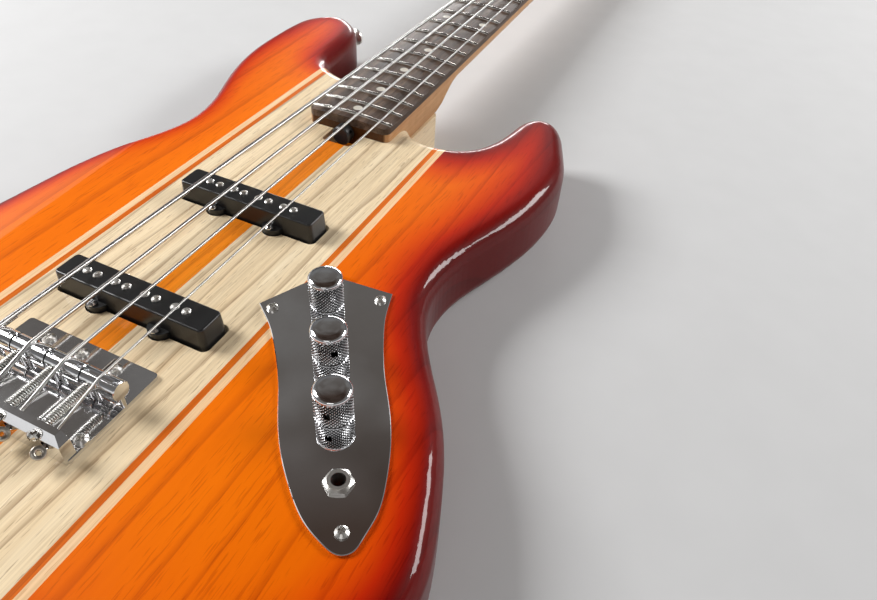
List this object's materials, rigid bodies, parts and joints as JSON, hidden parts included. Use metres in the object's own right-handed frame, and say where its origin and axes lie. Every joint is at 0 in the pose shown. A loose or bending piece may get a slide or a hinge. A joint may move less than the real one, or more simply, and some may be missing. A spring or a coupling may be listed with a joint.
{
  "type": "electric bass guitar",
  "caption": "Electric bass guitar with a laminated sunburst body, bolt-on neck, height-adjusted pickups, screw-set barrel saddles and open worm-gear tuners.",
  "frame": {"origin": "on the flat back of the body, on the centre line below the saddle line", "axes": "+X to the treble side, +Y from the bridge to the head, +Z out of the top face"},
  "size_m": [0.3459, 1.2098, 0.0656],
  "materials": {
    "stripe_wood": "gloss",
    "core_wood": "gloss",
    "accent_wood": "gloss",
    "strip_wood": "gloss",
    "wing_wood": "gloss",
    "neck_wood": "satin",
    "board_wood": "oiled",
    "dot_white": "gloss",
    "nut_white": "satin",
    "chrome": "polished",
    "nickel": "polished",
    "string_steel": "wound",
    "truss_steel": "plain",
    "wheel_black": "black oxide",
    "cover_black": "satin",
    "coil_copper": "enamelled",
    "pot_metal": "plain",
    "wire_cloth": "matte"
  },
  "bodies": {
    "instrument": {"core_center_stripe": "stripe_wood", "core_planks": "core_wood", "accent_strips": "accent_wood", "maple_strips": "strip_wood", "body_wing_bass": "wing_wood", "body_wing_treble": "wing_wood", "strap_buttons": "chrome", "neck": "neck_wood", "neck_ferrules": "chrome", "neck_screws": "chrome", "truss_rod": "truss_steel", "fretboard": "board_wood", "position_dots": "dot_white", "frets": "nickel", "nut": "nut_white", "bridge_plate": "chrome", "bridge_screws": "chrome", "intonation_springs": "nickel", "control_plate": "chrome", "control_plate_screws": "chrome", "control_pots": "pot_metal", "control_nuts": "nickel", "jack_socket": "chrome", "hookup_wires": "wire_cloth", "tuner_plates": "chrome", "tuner_bushings": "chrome", "tuner_screws": "chrome", "string_tree": "chrome", "string_e": "string_steel", "string_a": "string_steel", "string_d": "string_steel", "string_g": "string_steel"},
    "tuner_key_e": {"tuner_key_e": "chrome"},
    "tuner_post_e": {"tuner_post_e": "chrome"},
    "intonation_screw_e": {"intonation_screw_e": "nickel"},
    "saddle_e": {"saddle_e": "chrome"},
    "tuner_key_a": {"tuner_key_a": "chrome"},
    "tuner_post_a": {"tuner_post_a": "chrome"},
    "intonation_screw_a": {"intonation_screw_a": "nickel"},
    "saddle_a": {"saddle_a": "chrome"},
    "tuner_key_d": {"tuner_key_d": "chrome"},
    "tuner_post_d": {"tuner_post_d": "chrome"},
    "intonation_screw_d": {"intonation_screw_d": "nickel"},
    "saddle_d": {"saddle_d": "chrome"},
    "tuner_key_g": {"tuner_key_g": "chrome"},
    "tuner_post_g": {"tuner_post_g": "chrome"},
    "intonation_screw_g": {"intonation_screw_g": "nickel"},
    "saddle_g": {"saddle_g": "chrome"},
    "neck_volume_knob": {"neck_volume_knob": "chrome"},
    "bridge_volume_knob": {"bridge_volume_knob": "chrome"},
    "tone_knob": {"tone_knob": "chrome"},
    "truss_wheel": {"truss_wheel": "wheel_black"},
    "pickup_bridge": {"pickup_cover_bridge": "cover_black", "pickup_poles_bridge": "nickel", "pickup_coil_bridge": "coil_copper", "pickup_screws_bridge": "chrome"},
    "pickup_neck": {"pickup_cover_neck": "cover_black", "pickup_poles_neck": "nickel", "pickup_coil_neck": "coil_copper", "pickup_screws_neck": "chrome"}
  },
  "joints": [
    {"name": "key_turn_e", "type": "hinge", "parent": "instrument", "child": "tuner_key_e", "pos_m": [-0.02318, 0.90587, 0.0246], "axis": [-0.9804, 0.1968, 0], "continuous": true},
    {"name": "post_turn_e", "type": "hinge", "parent": "instrument", "child": "tuner_post_e", "pos_m": [-0.02043, 0.9196, 0.0386], "axis": [0, 0, 1], "continuous": true},
    {"name": "intonation_turn_e", "type": "hinge", "parent": "instrument", "child": "intonation_screw_e", "pos_m": [-0.0346, -0.027, 0.0573], "axis": [0, 1, 0], "range_deg": [-2200, 2200]},
    {"name": "saddle_slide_e", "type": "slide", "parent": "instrument", "child": "saddle_e", "axis": [0, 1, 0], "range_m": [-0.003, 0.003], "deforming": ["intonation_springs", "string_e", "string_a", "string_d", "string_g"]},
    {"name": "key_turn_a", "type": "hinge", "parent": "instrument", "child": "tuner_key_a", "pos_m": [-0.01333, 0.94987, 0.0246], "axis": [-0.9804, 0.1968, 0], "continuous": true},
    {"name": "post_turn_a", "type": "hinge", "parent": "instrument", "child": "tuner_post_a", "pos_m": [-0.01057, 0.9636, 0.0386], "axis": [0, 0, 1], "continuous": true},
    {"name": "intonation_turn_a", "type": "hinge", "parent": "instrument", "child": "intonation_screw_a", "pos_m": [-0.0146, -0.027, 0.0573], "axis": [0, 1, 0], "range_deg": [-2200, 2200]},
    {"name": "saddle_slide_a", "type": "slide", "parent": "instrument", "child": "saddle_a", "axis": [0, 1, 0], "range_m": [-0.003, 0.003], "deforming": ["intonation_springs", "string_e", "string_a", "string_d", "string_g"]},
    {"name": "key_turn_d", "type": "hinge", "parent": "instrument", "child": "tuner_key_d", "pos_m": [-0.00451, 0.99387, 0.0246], "axis": [-0.9804, 0.1968, 0], "continuous": true},
    {"name": "post_turn_d", "type": "hinge", "parent": "instrument", "child": "tuner_post_d", "pos_m": [-0.00175, 1.0076, 0.0386], "axis": [0, 0, 1], "continuous": true},
    {"name": "intonation_turn_d", "type": "hinge", "parent": "instrument", "child": "intonation_screw_d", "pos_m": [0.0054, -0.027, 0.0573], "axis": [0, 1, 0], "range_deg": [-2200, 2200]},
    {"name": "saddle_slide_d", "type": "slide", "parent": "instrument", "child": "saddle_d", "axis": [0, 1, 0], "range_m": [-0.003, 0.003], "deforming": ["intonation_springs", "string_e", "string_a", "string_d", "string_g"]},
    {"name": "key_turn_g", "type": "hinge", "parent": "instrument", "child": "tuner_key_g", "pos_m": [0.00331, 1.03787, 0.0246], "axis": [-0.9804, 0.1968, 0], "continuous": true},
    {"name": "post_turn_g", "type": "hinge", "parent": "instrument", "child": "tuner_post_g", "pos_m": [0.00606, 1.0516, 0.0386], "axis": [0, 0, 1], "continuous": true},
    {"name": "intonation_turn_g", "type": "hinge", "parent": "instrument", "child": "intonation_screw_g", "pos_m": [0.0254, -0.027, 0.0573], "axis": [0, 1, 0], "range_deg": [-2200, 2200]},
    {"name": "saddle_slide_g", "type": "slide", "parent": "instrument", "child": "saddle_g", "axis": [0, 1, 0], "range_m": [-0.003, 0.003], "deforming": ["intonation_springs", "string_e", "string_a", "string_d", "string_g"]},
    {"name": "neck_volume_knob_turn", "type": "hinge", "parent": "instrument", "child": "neck_volume_knob", "pos_m": [0.07876, 0.09784, 0.05], "axis": [0, 0, 1], "range_deg": [-150, 150]},
    {"name": "bridge_volume_knob_turn", "type": "hinge", "parent": "instrument", "child": "bridge_volume_knob", "pos_m": [0.09912, 0.06828, 0.05], "axis": [0, 0, 1], "range_deg": [-150, 150]},
    {"name": "tone_knob_turn", "type": "hinge", "parent": "instrument", "child": "tone_knob", "pos_m": [0.11948, 0.03871, 0.05], "axis": [0, 0, 1], "range_deg": [-150, 150]},
    {"name": "truss_wheel_turn", "type": "hinge", "parent": "instrument", "child": "truss_wheel", "pos_m": [0, 0.24425, 0.0465], "axis": [0, 1, 0], "range_deg": [-180, 180]},
    {"name": "pickup_height_bridge", "type": "slide", "parent": "instrument", "child": "pickup_bridge", "axis": [0, 0, 1], "range_m": [-0.002, 0.002]},
    {"name": "pickup_height_neck", "type": "slide", "parent": "instrument", "child": "pickup_neck", "axis": [0, 0, 1], "range_m": [-0.002, 0.002]}
  ],
  "couplings": [
    {"joint": "post_turn_e", "follows": "key_turn_e", "ratio": 0.05},
    {"joint": "intonation_turn_e", "follows": "saddle_slide_e", "rad_per_m": -12566},
    {"joint": "post_turn_a", "follows": "key_turn_a", "ratio": 0.05},
    {"joint": "intonation_turn_a", "follows": "saddle_slide_a", "rad_per_m": -12566},
    {"joint": "post_turn_d", "follows": "key_turn_d", "ratio": 0.05},
    {"joint": "intonation_turn_d", "follows": "saddle_slide_d", "rad_per_m": -12566},
    {"joint": "post_turn_g", "follows": "key_turn_g", "ratio": 0.05},
    {"joint": "intonation_turn_g", "follows": "saddle_slide_g", "rad_per_m": -12566}
  ]
}
